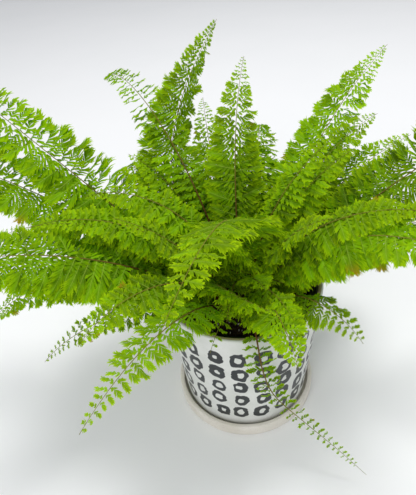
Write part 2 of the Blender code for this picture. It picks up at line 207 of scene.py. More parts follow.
def painted_rings(tree, where):
    """The mask of hand-brushed rings: a grid round the wall, each cell's ring jogged, squared and frayed."""
    x, y, z = add(tree, "SeparateXYZ", [where]).outputs
    flat = add(tree, "CombineXYZ", [x, y, 0.0])
    radius = add(tree, "VectorMath", [flat], operation="LENGTH").outputs["Value"]
    turn = add(tree, "Math", [y, x], operation="ARCTAN2")
    turn = add(tree, "Math", [turn, RING_COLUMNS / math.tau, RING_COLUMNS * (1 - RING_BEARING / 360) + 0.5],
               operation="MULTIPLY_ADD")
    rise = add(tree, "Math", [z, -1 / RING_PITCH, RING_TOP / RING_PITCH + 0.5], operation="MULTIPLY_ADD")
    column, row = [add(tree, "Math", [value], operation="FLOOR") for value in (turn, rise)]
    cell = add(tree, "CombineXYZ", [column, row, 3.0])
    luck = add(tree, "TexWhiteNoise", {"Vector": cell}, noise_dimensions="3D").outputs["Color"]
    hole_luck, shift_luck, size_luck = add(tree, "SeparateXYZ", [luck]).outputs
    stray_across, stray_down = brush_stray(tree, where, luck)

    across, down = [add(tree, "Math", [value], operation="FRACT") for value in (turn, rise)]
    across, down = [add(tree, "Math", [value, 0.5], operation="SUBTRACT") for value in (across, down)]
    cell_width = add(tree, "Math", [radius, math.tau / RING_COLUMNS], operation="MULTIPLY")
    across = add(tree, "Math", [across, cell_width, stray_across], operation="MULTIPLY_ADD")
    down = add(tree, "Math", [down, RING_PITCH, stray_down], operation="MULTIPLY_ADD")
    down = add(tree, "Math", [down, RING_TALLNESS], operation="DIVIDE")

    size = add(tree, "Math", [size_luck, 0.22 * RING_RADIUS, 0.86 * RING_RADIUS], operation="MULTIPLY_ADD")
    outer = squarish_reach(tree, across, down, size)
    outer = add(tree, "MapRange", [outer, 0.97, 1.03, 1.0, 0.0], interpolation_type="SMOOTHSTEP")
    hole = add(tree, "Math", [hole_luck, 0.40 * RING_HOLE, 0.80 * RING_HOLE], operation="MULTIPLY_ADD")
    shift = add(tree, "Math", [shift_luck, HOLE_JOG, -HOLE_JOG / 2], operation="MULTIPLY_ADD")
    beside = add(tree, "Math", [across, shift], operation="ADD")
    inner = squarish_reach(tree, beside, down, hole)
    inner = add(tree, "MapRange", [inner, 0.94, 1.06, 0.0, 1.0], interpolation_type="SMOOTHSTEP")
    ring = add(tree, "Math", [outer, inner], operation="MULTIPLY")
    below_top = add(tree, "Math", [rise, 0.0], operation="GREATER_THAN")
    above_foot = add(tree, "Math", [rise, float(RING_ROWS)], operation="LESS_THAN")
    in_rows = add(tree, "Math", [below_top, above_foot], operation="MULTIPLY")
    return add(tree, "Math", [ring, in_rows], operation="MULTIPLY")


def satin_glaze(name, with_rings):
    """Satin white tin glaze over stoneware: soft gloss, faint iron specks and a thrown ripple;
    outside it carries charcoal rings brushed on by hand under the glaze."""
    material, tree, where = new_material(name)
    cloud = add(tree, "TexNoise", {"Vector": where, "Scale": 1 / (22 * MM)})
    speck = add(tree, "TexNoise", {"Vector": where, "Scale": 1 / (1.1 * MM), "Detail": 1.0})
    clouded = add(tree, "MapRange", [cloud, 0.3, 0.7, 0.0, 1.0], interpolation_type="SMOOTHSTEP")
    glaze = add(tree, "Mix", {0: clouded, COLOUR_A: linear("#d3d5cf"), COLOUR_B: linear("#e0e1dc")},
                data_type="RGBA")
    iron = add(tree, "MapRange", [speck, 0.66, 0.74, 0.0, 0.35], interpolation_type="SMOOTHSTEP")
    glaze = add(tree, "Mix", {0: iron, COLOUR_A: glaze, COLOUR_B: linear("#a49c88")}, data_type="RGBA")
    if with_rings:
        wash = add(tree, "TexNoise", {"Vector": where, "Scale": 1 / (5 * MM)})
        wash = add(tree, "MapRange", [wash, 0.35, 0.75, 0.0, 1.0], interpolation_type="SMOOTHSTEP")
        charcoal = add(tree, "Mix", {0: wash, COLOUR_A: linear("#14191c"), COLOUR_B: linear("#23292d")},
                       data_type="RGBA")
        glaze = add(tree, "Mix", {0: painted_rings(tree, where), COLOUR_A: glaze, COLOUR_B: charcoal},
                    data_type="RGBA")
    ripple = add(tree, "TexNoise", {"Vector": where, "Scale": 1 / (9 * MM), "Detail": 1.0})
    ripple = add(tree, "Math", [speck, 0.25, ripple], operation="MULTIPLY_ADD")
    skin = add(tree, "Bump", {"Height": ripple, "Strength": 1.0, "Distance": 0.12 * MM})
    shine = add(tree, "MapRange", [cloud, 0.2, 0.8, 0.30, 0.42], interpolation_type="SMOOTHSTEP")
    face = add(tree, "BsdfPrincipled", {"Base Color": glaze, "Roughness": shine, "IOR": 1.5, "Normal": skin})
    add(tree, "OutputMaterial", {"Surface": face})
    return material


def bare_stoneware(name, light, dark):
    """Unglazed fired clay: chalky and dry, with sandy grog and a faint kiln blush."""
    material, tree, where = new_material(name)
    blush = add(tree, "TexNoise", {"Vector": where, "Scale": 1 / (30 * MM)})
    blush = add(tree, "MapRange", [blush, 0.3, 0.7, 0.0, 1.0], interpolation_type="SMOOTHSTEP")
    grog = add(tree, "TexNoise", {"Vector": where, "Scale": 1 / (0.9 * MM)})
    grains = add(tree, "MapRange", [grog, 0.62, 0.72, 0.0, 0.4], interpolation_type="SMOOTHSTEP")
    clay = add(tree, "Mix", {0: blush, COLOUR_A: linear(dark), COLOUR_B: linear(light)}, data_type="RGBA")
    clay = add(tree, "Mix", {0: grains, COLOUR_A: clay, COLOUR_B: linear("#8b8069")}, data_type="RGBA")
    skin = add(tree, "Bump", {"Height": grog, "Strength": 1.0, "Distance": 0.10 * MM})
    face = add(tree, "BsdfPrincipled", {"Base Color": clay, "Roughness": 0.72, "IOR": 1.5, "Normal": skin})
    add(tree, "OutputMaterial", {"Surface": face})
    return material


def moulded_polypropylene():
    """Injection-moulded black polypropylene: a soft sheen that is scuffed and dusted with peat."""
    material, tree, where = new_material("black_moulded_polypropylene")
    scuff = add(tree, "TexNoise", {"Vector": where, "Scale": 1 / (3 * MM), "Detail": 4.0})
    dust = add(tree, "MapRange", [scuff, 0.55, 0.8, 0.0, 0.35], interpolation_type="SMOOTHSTEP")
    shine = add(tree, "MapRange", [scuff, 0.3, 0.8, 0.28, 0.55], interpolation_type="SMOOTHSTEP")
    colour = add(tree, "Mix", {0: dust, COLOUR_A: linear("#101213"), COLOUR_B: linear("#3b332b")},
                 data_type="RGBA")
    face = add(tree, "BsdfPrincipled", {"Base Color": colour, "Roughness": shine, "IOR": 1.49})
    add(tree, "OutputMaterial", {"Surface": face})
    return material


def grainy_matter(name, size, detail, softness, depth, colours, band, dryness, ior):
    """A dry, crumbly or fibrous stuff: two colours over grains of one size, which also stand up in relief."""
    material, tree, where = new_material(name)
    grains = add(tree, "TexNoise", {"Vector": where, "Scale": 1 / size, "Detail": detail,
                                    "Roughness": softness})
    share = add(tree, "MapRange", [grains, *band, 0.0, 1.0], interpolation_type="SMOOTHSTEP")
    colour = add(tree, "Mix", {0: share, COLOUR_A: linear(colours[0]), COLOUR_B: linear(colours[1])},
                 data_type="RGBA")
    skin = add(tree, "Bump", {"Height": grains, "Strength": 1.0, "Distance": depth})
    face = add(tree, "BsdfPrincipled", {"Base Color": colour, "Roughness": dryness, "IOR": ior,
                                        "Normal": skin})
    add(tree, "OutputMaterial", {"Surface": face})
    return material


def peat_compost():
    """Damp peat compost: near-black crumbs with rusty fibres."""
    return grainy_matter("damp_peat_compost", size=2.2 * MM, detail=4.0, softness=0.65, depth=0.8 * MM,
                         colours=("#140d08", "#4a3120"), band=(0.35, 0.7), dryness=0.92, ior=1.4)


def expanded_perlite():
    """Expanded perlite: chalk-white popped glass grains with fine pores."""
    return grainy_matter("expanded_perlite", size=0.7 * MM, detail=2.0, softness=0.5, depth=0.3 * MM,
                         colours=("#a8a294", "#e9e6dc"), band=(0.3, 0.6), dryness=0.85, ior=1.5)


def rhizome_scales():
    """Papery chestnut scales and woody rhizome: dry, fibrous and streaked."""
    return grainy_matter("papery_rhizome_scale", size=1.2 * MM, detail=4.0, softness=0.5, depth=0.3 * MM,
                         colours=("#170b05", "#4a2b15"), band=(0.3, 0.7), dryness=0.8, ior=1.4)


def studio_paper():
    """Seamless matt background paper, very slightly cloudy."""
    material, tree, where = new_material("matt_studio_paper")
    cloud = add(tree, "TexNoise", {"Vector": where, "Scale": 1 / (300 * MM)})
    colour = add(tree, "Mix", {0: cloud, COLOUR_A: linear("#f3f4f4"), COLOUR_B: linear("#f8f8f8")},
                 data_type="RGBA")
    face = add(tree, "BsdfPrincipled", {"Base Color": colour, "Roughness": 0.9, "IOR": 1.3})
    add(tree, "OutputMaterial", {"Surface": face})
    return material


# ---------------------------------------------------------------- meshes
def new_piece(name, vertices, faces, materials, slot, nodes, uvs=None, material_of=None, values=None):
    """A mesh object with its finishes, smooth faces, bake map and per-point values, put on the frame."""
    mesh = bpy.data.meshes.new(name)
    vertices = np.asarray(vertices, np.float32)
    sizes = np.array([len(face) for face in faces], np.int32)
    corners = np.array([index for face in faces for index in face], np.int32)
    mesh.vertices.add(len(vertices))
    mesh.vertices.foreach_set("co", vertices.ravel())
    mesh.loops.add(len(corners))
    mesh.loops.foreach_set("vertex_index", corners)
    mesh.polygons.add(len(sizes))
    mesh.polygons.foreach_set("loop_start", np.concatenate([[0], np.cumsum(sizes)[:-1]]).astype(np.int32))
    mesh.polygons.foreach_set("use_smooth", np.ones(len(sizes), bool))
    for material in materials:
        mesh.materials.append(material)
    if material_of is not None:
        mesh.polygons.foreach_set("material_index", np.asarray(material_of, np.int32))
    mesh.update(calc_edges=True)
    if uvs is not None:
        layer = mesh.uv_layers.new(name="OFBake")
        layer.data.foreach_set("uv", np.asarray(uvs, np.float32).ravel())
    for key, numbers in (values or {}).items():
        attribute = mesh.attributes.new(key, "FLOAT", "POINT")
        attribute.data.foreach_set("value", np.asarray(numbers, np.float32))
    mesh.validate()
    piece = bpy.data.objects.new(name, mesh)
    bpy.context.scene.collection.objects.link(piece)
    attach(piece, "root")
    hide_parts(*nodes)
    return piece


def arc(corner, before, after, radius, steps=6):
    """A corner of a profile, rounded: points (x, z) on an arc that touches both of its sides."""
    corner, before, after = Vector(corner), Vector(before), Vector(after)
    one, two = (before - corner).normalized(), (after - corner).normalized()
    half = one.angle(two) / 2
    start, stop = corner + one * radius / math.tan(half), corner + two * radius / math.tan(half)
    centre = corner + (one + two).normalized() * radius / math.sin(half)
    first, last = start - centre, stop - centre
    sweep = first.angle_signed(last)
    points = []
    for step in range(steps + 1):
        angle = -sweep * step / steps
        turned = Vector((first.x * math.cos(angle) - first.y * math.sin(angle),
                         first.x * math.sin(angle) + first.y * math.cos(angle)))
        points.append(tuple(centre + turned))
    return points


def outline(corners):
    """A closed profile from corners (x, z, rounding, finish): points, and the finish after each."""
    points, finishes = [], []
    for index, (x, z, radius, finish) in enumerate(corners):
        if radius == 0.0:
            points.append((x, z))
            finishes.append(finish)
        else:
            before, after = corners[index - 1][:2], corners[(index + 1) % len(corners)][:2]
            bend = arc((x, z), before, after, radius)
            points += bend
            finishes += [finish] * len(bend)
    return points, finishes


def subdivide(points, finishes):
    """The closed profile with its long straight runs divided."""
    out_points, out_finishes = [], []
    for index, (x, z) in enumerate(points):
        after_x, after_z = points[(index + 1) % len(points)]
        pieces = max(1, math.ceil(math.dist((x, z), (after_x, after_z)) / LONGEST_RUN))
        for piece in range(pieces):
            share = piece / pieces
            out_points.append((x + (after_x - x) * share, z + (after_z - z) * share))
            out_finishes.append(finishes[index])
    return out_points, out_finishes


def thrown(name, corners, materials, slot, nodes, wobble=THROWING_WOBBLE):
    """A turned piece: the profile runs down its outer side and goes round the wheel."""
    points, finishes = subdivide(*outline(corners))
    rows, steps = len(points), WHEEL_STEPS
    theta = np.arange(steps) * math.tau / steps
    vertices = []
    for x, z in points:
        swell = np.sin(2 * theta + 40 * z) + 0.6 * np.sin(3 * theta + 1.7 - 25 * z)
        radii = x + wobble * swell * min(1.0, x / WOBBLE_FADE)
        vertices.append(np.stack([radii * np.cos(theta), radii * np.sin(theta), np.full(steps, z)], -1))
    faces, uvs, material_of = [], [], []
    for run in range(rows):
        here, there = run * steps, (run + 1) % rows * steps
        top, foot = 1 - run / rows, 1 - (run + 1) / rows
        for step in range(steps):
            after = (step + 1) % steps
            faces.append((here + step, there + step, there + after, here + after))
            left, right = step / steps, (step + 1) / steps
            uvs += [(left, top), (left, foot), (right, foot), (right, top)]
            material_of.append(finishes[run])
    return new_piece(name, np.concatenate(vertices), faces, materials, slot, nodes, uvs, material_of)


def corners_of(node):
    """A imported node's corners, and how far each stands from the pot's axis."""
    corners = np.array([vertex.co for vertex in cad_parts[node].data.vertices])
    return corners, np.hypot(corners[:, 0], corners[:, 1])


# ---------------------------------------------------------------- pot, saucer, nursery pot
def make_pot():
    """The glazed pot: its wall, lip, hollowed foot and drain hole."""
    low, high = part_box("ceramic_pot")
    corners, radius = corners_of("ceramic_pot")
    heights = corners[:, 2]
    rim, drain = float(radius.max()), float(radius.min())
    inner_rim = float(radius[heights > high.z - 2 * LIP_ROUND].min())
    foot_flat = radius[heights < low.z + 0.2 * MM]
    foot_inner = float(foot_flat.min())
    foot_outer = float(foot_flat.max()) + FOOT_ROUND * 0.93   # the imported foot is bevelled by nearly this
    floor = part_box("nursery_pot")[0].z - 0.3 * MM
    under = float(np.unique(np.round(heights[np.abs(radius - drain) < 0.3 * MM], 5)).min())
    wall = rim - inner_rim
    floor_radius = foot_outer + (rim - foot_outer) * (floor - low.z) / (high.z - low.z) - wall
    painted, plain, bare = 0, 1, 2
    profile = [
        (inner_rim, high.z, LIP_ROUND, bare),
        (rim, high.z, LIP_ROUND, painted),
        (foot_outer, low.z, FOOT_ROUND, painted),
        (foot_inner, low.z, 0.0, bare),
        (foot_inner, under, 0.0, bare),
        (drain, under, 0.0, bare),
        (drain, floor, 0.0, plain),
        (floor_radius, floor, 0.0, plain),
        (inner_rim - 0.2 * MM, high.z - 6 * MM, 0.0, bare),   # tan from here up over the inner lip, in the same finish as the foot
    ]
    finishes = [satin_glaze("satin_white_glaze_with_brushed_rings", True),
                satin_glaze("satin_white_glaze", False),
                bare_stoneware("bare_toasted_stoneware", "#c9bb96", "#a39570")]
    thrown("glazed_pot", profile, finishes, "glaze", ["ceramic_pot"])


def make_saucer():
    """The saucer: a low dish of matt cream stoneware with softened edges."""
    low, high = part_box("saucer")
    corners, radius = corners_of("saucer")
    heights, outer = corners[:, 2], float(radius.max())
    within = (radius > 40 * MM) & (radius < outer - 2 * MM)
    on_floor = within & (heights > low.z + 2 * MM) & (heights < high.z - 4 * MM)
    inner, floor = float(radius[on_floor].max()), float(heights[on_floor].min())
    soften = (outer - inner) / 2.6   # the two edges of the rim nearly meet
    profile = [
        (AXIS_GAP, floor, 0.0, 0),
        (inner, floor, 1.5 * MM, 0),
        (inner, high.z, soften, 0),
        (outer, high.z, soften, 0),
        (outer, low.z, SAUCER_ROUND, 0),
        (AXIS_GAP, low.z, 0.0, 0),
    ]
    clay = bare_stoneware("matt_cream_stoneware", "#e6e1d7", "#d9d3c6")
    thrown("stoneware_saucer", profile, [clay], "stoneware", ["saucer"])


def make_nursery_pot():
    """The thin black pot inside: a turned lip, a plain wall and its ring of drain holes."""
    low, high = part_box("nursery_pot")
    corners, radius = corners_of("nursery_pot")
    heights, lip = corners[:, 2], float(radius.max())
    inner_top = float(radius[heights > high.z - 0.5 * MM].min())
    lip_foot = float(heights[np.abs(radius - lip) < 0.2 * MM].min())
    foot = float(radius[heights < low.z + 0.1 * MM].max())
    floor = low.z + NURSERY_FLOOR
    profile = [
        (AXIS_GAP, floor, 0.0, 0),
        (foot - NURSERY_WALL, floor, 0.8 * MM, 0),
        (inner_top, high.z, 0.45 * MM, 0),
        (lip, high.z, 0.8 * MM, 0),
        (lip, lip_foot, 0.3 * MM, 0),
        (inner_top + NURSERY_WALL, lip_foot, 0.0, 0),
        (foot, low.z, 0.8 * MM, 0),
        (AXIS_GAP, low.z, 0.0, 0),
    ]
    piece = thrown("black_nursery_pot", profile, [moulded_polypropylene()], "black_plastic", ["nursery_pot"],
                   wobble=0.1 * MM)
    drill_drain_holes(piece, low.z, floor)


def drill_drain_holes(piece, under, floor):
    """Cuts the ring of round holes through the nursery pot's floor."""
    shape = bmesh.new()
    for index in range(DRAIN_HOLES):
        angle = math.tau * index / DRAIN_HOLES
        place = (DRAIN_CIRCLE * math.cos(angle), DRAIN_CIRCLE * math.sin(angle), (under + floor) / 2)
        bmesh.ops.create_cone(shape, cap_ends=True, segments=32, radius1=DRAIN_BORE, radius2=DRAIN_BORE,
                              depth=(floor - under) * 4, matrix=Matrix.Translation(place))
    mesh = bpy.data.meshes.new("drain_drill")
    shape.to_mesh(mesh)
    shape.free()
    drill = bpy.data.objects.new("drain_drill", mesh)
    bpy.context.scene.collection.objects.link(drill)
    cut = piece.modifiers.new("drain", "BOOLEAN")
    cut.operation = "DIFFERENCE"
    cut.object = drill
    drilled = bpy.data.meshes.new_from_object(piece.evaluated_get(bpy.context.evaluated_depsgraph_get()))
    piece.modifiers.remove(cut)
    piece.data = drilled
    bpy.data.objects.remove(drill)


# ---------------------------------------------------------------- compost and crown
def blob(centre, size, seed):
    """A lumpy grain: points and triangles round a centre."""
    shape = bmesh.new()
    bmesh.ops.create_icosphere(shape, subdivisions=1, radius=1.0)
    points = []
    for vertex in shape.verts:
        lump = 1.0 + 0.35 * noise.noise(vertex.co * 1.3 + Vector((seed, seed * 0.7, -seed)))
        out = Vector([axis * half for axis, half in zip(vertex.co, size)])
        points.append(Vector(centre) + out * lump)
    faces = [[vertex.index for vertex in face.verts] for face in shape.faces]
    shape.free()
    return points, faces


def gather(blobs):
    """Many small bodies as one mesh's points and faces."""
    vertices, faces = [], []
    for points, triangles in blobs:
        base = len(vertices)
        vertices += [tuple(point) for point in points]
        faces += [[base + index for index in face] for face in triangles]
    return vertices, faces


def mound_faces(steps, rings):
    """The faces of a mound: a point at the top, then so many rings of so many steps."""
    faces = []
    for step in range(steps):
        after = (step + 1) % steps
        faces.append((0, 1 + step, 1 + after))
        for ring in range(rings - 1):
            here, there = 1 + ring * steps, 1 + (ring + 1) * steps
            faces.append((here + step, there + step, there + after, here + after))
    return faces


def compost_fall(share, dome):
    """How far the compost's gently domed top has fallen at a share of its radius."""
    return dome * max(0.0, (share - 0.5) / 0.5)


def make_compost():
    """The compost: a crumbly surface in the nursery pot, with loose crumbs and perlite."""
    low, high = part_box("potting_soil")
    corners, radius = corners_of("potting_soil")
    top_radius = float(radius.max())
    foot_radius = float(radius[corners[:, 2] < low.z + 0.1 * MM].max())
    dome = high.z - float(corners[radius > top_radius - 0.5 * MM][:, 2].max())
    steps, rings = 96, 26
    turns = [math.tau * step / steps for step in range(steps)]
    vertices = [(0.0, 0.0, high.z)]
    for ring in range(1, rings + 1):
        share = ring / rings
        for turn in turns:
            place = Vector((top_radius * share * math.cos(turn), top_radius * share * math.sin(turn), 0.0))
            calm = min(1.0, (1.0 - share) * 12 + 0.1)   # the crumbs lie flatter beside the wall
            crumb = noise.fractal(place * 260, 0.8, 2.0, 4) * 1.1 * MM * calm
            vertices.append((place.x, place.y, high.z - compost_fall(share, dome) - 0.5 * MM + crumb))
    skirt, edge = len(vertices), len(vertices) - steps
    vertices += [(foot_radius * math.cos(turn), foot_radius * math.sin(turn), low.z) for turn in turns]
    vertices.append((0.0, 0.0, low.z))
    faces = mound_faces(steps, rings)
    for step in range(steps):
        after = (step + 1) % steps
        faces.append((edge + step, skirt + step, skirt + after, edge + after))
        faces.append((skirt + step, len(vertices) - 1, skirt + after))
    new_piece("compost", vertices, faces, [peat_compost()], "soil", ["potting_soil"])
    scatter_crumbs(top_radius, high.z, dome)


def scatter_crumbs(top_radius, top, dome):
    """Loose crumbs and grains of perlite on the compost, outside the crown."""
    crumbs, grains = [], []
    crown_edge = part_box("rhizome_crown")[1].x
    for index in range(CRUMBS):
        turn, share = rng.uniform(0, math.tau), math.sqrt(rng.uniform((crown_edge / top_radius) ** 2, 0.95))
        place = (top_radius * share * math.cos(turn), top_radius * share * math.sin(turn),
                 top - compost_fall(share, dome) - 0.2 * MM)
        size = rng.uniform(0.5, 1.7, 3) * MM
        if index % 6:
            crumbs.append(blob(place, size, index * 1.31))
        else:
            grains.append(blob(place, size * 0.9, index * 1.31))
    new_piece("compost_crumbs", *gather(crumbs), [peat_compost()], "soil", [])
    new_piece("perlite_grains", *gather(grains), [expanded_perlite()], "soil", [])


def crown_scale(reach, height, low):
    """One papery scale: a narrow pointed flap that stands out of the crown."""
    turn, rise = rng.uniform(0, math.tau), rng.uniform(0.1, 1.45)
    foot = Vector((reach * math.cos(rise) * math.cos(turn), reach * math.cos(rise) * math.sin(turn),
                   low + height * math.sin(rise)))
    out = Vector((math.cos(rise) * math.cos(turn), math.cos(rise) * math.sin(turn), math.sin(rise) + 0.5))
    out = (out + Vector(rng.uniform(-0.5, 0.5, 3))).normalized()
    side = out.cross(Vector(rng.uniform(-1, 1, 3))).normalized() * rng.uniform(0.3, 0.7) * MM
    foot -= out * 1.5 * MM
    length = rng.uniform(2.5, 5.0) * MM
    tip = foot + out * length + side.cross(out) * 1.5
    middle = foot + out * length * 0.5
    points = [foot - side * 0.6, foot + side * 0.6, middle - side, middle + side, tip]
    return points, [(0, 1, 3, 2), (2, 3, 4)]


def make_crown():
    """The crown: a rough mound of rhizome bristling with papery scales."""
    low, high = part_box("rhizome_crown")
    reach, height = high.x, high.z - low.z
    steps, rings = 64, 18
    mound = [(0.0, 0.0, high.z - 1.0 * MM)]
    for ring in range(1, rings + 1):
        slope = math.pi / 2 * ring / rings
        for step in range(steps):
            turn = math.tau * step / steps
            out = reach * math.sin(slope)
            place = Vector((out * math.cos(turn), out * math.sin(turn), low.z + height * math.cos(slope)))
            knob = noise.fractal(place * 180, 0.7, 2.0, 4) * 1.4 * MM - 1.2 * MM
            place += Vector((place.x, place.y, place.z - low.z + 5 * MM)).normalized() * knob
            mound.append((place.x, place.y, max(place.z, low.z)))
    edge = len(mound) - steps
    underside = [edge + step for step in reversed(range(steps))]
    bodies = [(mound, mound_faces(steps, rings) + [underside])]
    bodies += [crown_scale(reach, height, low.z) for _ in range(CROWN_SCALES)]
    new_piece("scaly_crown", *gather(bodies), [rhizome_scales()], "rhizome", ["rhizome_crown"])


# ---------------------------------------------------------------- reading a frond from its frame
def welded(thing):
    """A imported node's distinct corners, and which of them share an edge."""
    mesh = thing.data
    raw = np.array([vertex.co for vertex in mesh.vertices])
    points, index = np.unique(np.round(raw, 5), axis=0, return_inverse=True)
    index = index.reshape(-1)
    links = [set() for _ in points]
    for edge in mesh.edges:
        a, b = int(index[edge.vertices[0]]), int(index[edge.vertices[1]])
        if a != b:
            links[a].add(b)
            links[b].add(a)
    return points, links


def steps_from(start, links):
    """How many edges away each corner is."""
    steps = np.full(len(links), -1)
    steps[start] = 0
    queue = [start]
    for here in queue:
        for there in links[here]:
            if steps[there] < 0:
                steps[there] = steps[here] + 1
                queue.append(there)
    return steps


def layers_from_tip(points, links):
    """The frond's tip, and each corner's section counted from it: every section has four corners."""
    crown_top = [0, 0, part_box("rhizome_crown")[1].z]
    root = int(np.argmin(np.linalg.norm(points - crown_top, axis=1)))
    for tip in np.argsort(-steps_from(root, links)):
        layers = steps_from(int(tip), links)
        if all((layers == layer).sum() == 4 for layer in range(1, int(layers.max()) + 1)):
            break
    return int(tip), layers


def read_section(points, links, members, last_centre, last_up):
    """One cross-section's centre, and its reach to the right and to the left with its up direction.

    Its four corners pair up across the section: the nearer pair are the rib's top and foot."""
    pairs = [(a, b) for a in members for b in members if a < b and b not in links[a]]
    pairs.sort(key=lambda pair: np.linalg.norm(points[pair[0]] - points[pair[1]]))
    if len(pairs) != 2:
        return points[members].mean(0), None
    (top, foot), (one, two) = [(points[a], points[b]) for a, b in pairs]
    centre, up = (top + foot) / 2, top - foot
    forward = last_centre - centre
    forward /= np.linalg.norm(forward)
    if last_up is None:
        last_up = centre - (one + two) / 2
        last_up -= forward * (last_up @ forward)
    up = (up if up @ last_up > 0 else -up) / np.linalg.norm(up)
    if (one - two) @ np.cross(forward, up) < 0:
        one, two = two, one
    return centre, (one - centre, two - centre, up)


def between(place, places, vectors):
    """A vector interpolated at a place among places."""
    return np.array([np.interp(place, places, vectors[:, axis]) for axis in range(3)])


class Spine:
    """A frond's midrib and the way its leaflets stand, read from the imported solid."""

    def __init__(self, node):
        points, links = welded(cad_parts[node])
        tip, layers = layers_from_tip(points, links)
        centres, sides, last_up = [points[tip]], [None], None
        for layer in range(1, int(layers.max()) + 1):
            members = [int(i) for i in np.where(layers == layer)[0]]
            centre, side = read_section(points, links, members, centres[-1], last_up)
            if side is not None:
                last_up = side[2]
            centres.append(centre)
            sides.append(side)
        self.centres = np.array(centres[::-1])
        self.sides = sides[::-1]
        lengths = np.linalg.norm(np.diff(self.centres, axis=0), axis=1)
        self.places = np.concatenate([[0], np.cumsum(lengths)])
        self.length = self.places[-1]
        wide = [i for i in range(len(self.sides)) if self.is_tooth(i)]
        self.tooth_places = self.places[wide]
        right, left, up = [np.array([self.sides[i][part] for i in wide]) for part in range(3)]
        self.rights, self.lefts, self.ups = right, left, up

    def is_tooth(self, index):
        """A section at a pair of teeth is wider than both of its neighbours."""
        def width(i):
            if not 0 <= i < len(self.sides) or self.sides[i] is None:
                return 0.0
            return np.linalg.norm(self.sides[i][0] - self.sides[i][1])
        return width(index) > width(index - 1) and width(index) > width(index + 1)

    def at(self, place):
        """The centre, heading and up direction at a distance along the midrib."""
        behind, centre, ahead = [between(place + step, self.places, self.centres)
                                 for step in (-3 * MM, 0.0, 3 * MM)]
        forward = (ahead - behind) / np.linalg.norm(ahead - behind)
        up = between(place, self.tooth_places, self.ups)
        up -= forward * (up @ forward)
        return centre, forward, up / np.linalg.norm(up)

    def tooth(self, place, side):
        """The leaflet's reach at a place: a vector from the midrib to its tip, on the right or the left."""
        arm = between(place, self.tooth_places, self.rights if side > 0 else self.lefts)
        first, last = self.tooth_places[0], self.tooth_places[-1]
        if place > last:
            arm *= max(0.0, (self.length - place) / max(self.length - last, 1e-6)) ** 0.6
        if place < first:
            arm *= max(0.45, place / first)
        return arm


class Shoot(Spine):
    """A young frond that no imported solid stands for: it rises from the crown and bends outwards."""

    def __init__(self, foot, out, length, rise, fall, reach, steps=24, bare=3):
        side = np.cross(out, [0.0, 0.0, 1.0])
        centres, ups = [foot], []
        for step in range(steps + 1):
            angle = math.radians(rise - fall * step / steps)
            forward = out * math.cos(angle) + np.array([0.0, 0.0, math.sin(angle)])
            ups.append(np.cross(side, forward))
            if step < steps:
                centres.append(centres[-1] + forward * length / steps)
        self.centres, self.length = np.array(centres), length
        self.places = np.linspace(0.0, length, steps + 1)
        share = self.places / length
        arms = reach * (0.4 + 0.6 * np.minimum(1, share / 0.3)) * (1 - share ** 2.2) ** 0.8
        forwards = np.gradient(self.centres, axis=0)
        forwards /= np.linalg.norm(forwards, axis=1)[:, None]
        self.tooth_places, self.ups = self.places[bare:], np.array(ups)[bare:]
        self.rights = (arms[:, None] * (side + 0.25 * forwards))[bare:]
        self.lefts = (arms[:, None] * (-side + 0.25 * forwards))[bare:]


# ---------------------------------------------------------------- a leaflet, as a pattern
LOBE_SPOTS = [   # a lobe's points: share of its reach, offset from its vein in pitches, paleness (partly the lobe's own pale margin, partly painted light on its tip and painted shade at its root)
    (0.0, -0.46, 0.0), (0.0, 0.0, 0.0), (0.0, 0.46, 0.0),
    (0.34, -0.44, 0.45), (0.52, 0.0, 0.3), (0.32, 0.46, 0.45),
    (0.76, -0.60, 0.9), (0.66, -0.30, 0.7), (0.84, 0.54, 0.9), (0.72, 0.26, 0.7),
    (1.06, -0.08, 1.0),
]
LOBE_FACES = [(0, 1, 4), (0, 4, 3), (1, 2, 4), (2, 5, 4), (3, 4, 7), (3, 7, 6),
              (7, 4, 10), (5, 9, 4), (5, 8, 9), (9, 10, 4)]
ROOT_SPOTS = 3    # the first points of a lobe lie on the leaflet's rib
RIB_STATIONS = 7


def lobe_pattern(base, pitch, reach, slant, tilt, curl, side):
    """One toothed lobe of a leaflet, folded along its own vein: points and triangles.

    It springs from the rib at base, points outwards and forwards, and side says to which side."""
    along = np.array([math.cos(slant), math.sin(slant)])
    across = np.array([math.sin(slant), -math.cos(slant)])
    points = []
    for share, offset, _ in LOBE_SPOTS:
        if share == 0.0:
            place = np.array([base + offset * pitch, 0.0])
        else:
            place = np.array([base, 0.0]) + along * share * reach + across * offset * pitch
        fold = math.tan(tilt) * offset * pitch * min(1.0, share * 2) - 0.35 * abs(offset) * pitch
        points.append((place[0], side * place[1], fold + curl * reach * share ** 2))
    return points, [(a, c, b) if side < 0 else (a, b, c) for a, b, c in LOBE_FACES]


def rib_pattern(start):
    """A leaflet's raised rib, tapering to its tip: points and triangles that count on from start."""
    points, triangles = [], []
    for number in range(RIB_STATIONS):
        share = number / (RIB_STATIONS - 1)
        half = 0.016 * (1.0 - 0.7 * share)
        points += [(share * 0.98, half, 0.002), (share * 0.98, 0.0, 0.016 * (1 - share)),
                   (share * 0.98, -half, 0.002)]
    for number in range(RIB_STATIONS - 1):
        for side in (0, 1):
            here = start + 3 * number + side
            there = here + 3
            triangles += [(here, there + 1, there), (here, here + 1, there + 1)]
    return points, triangles


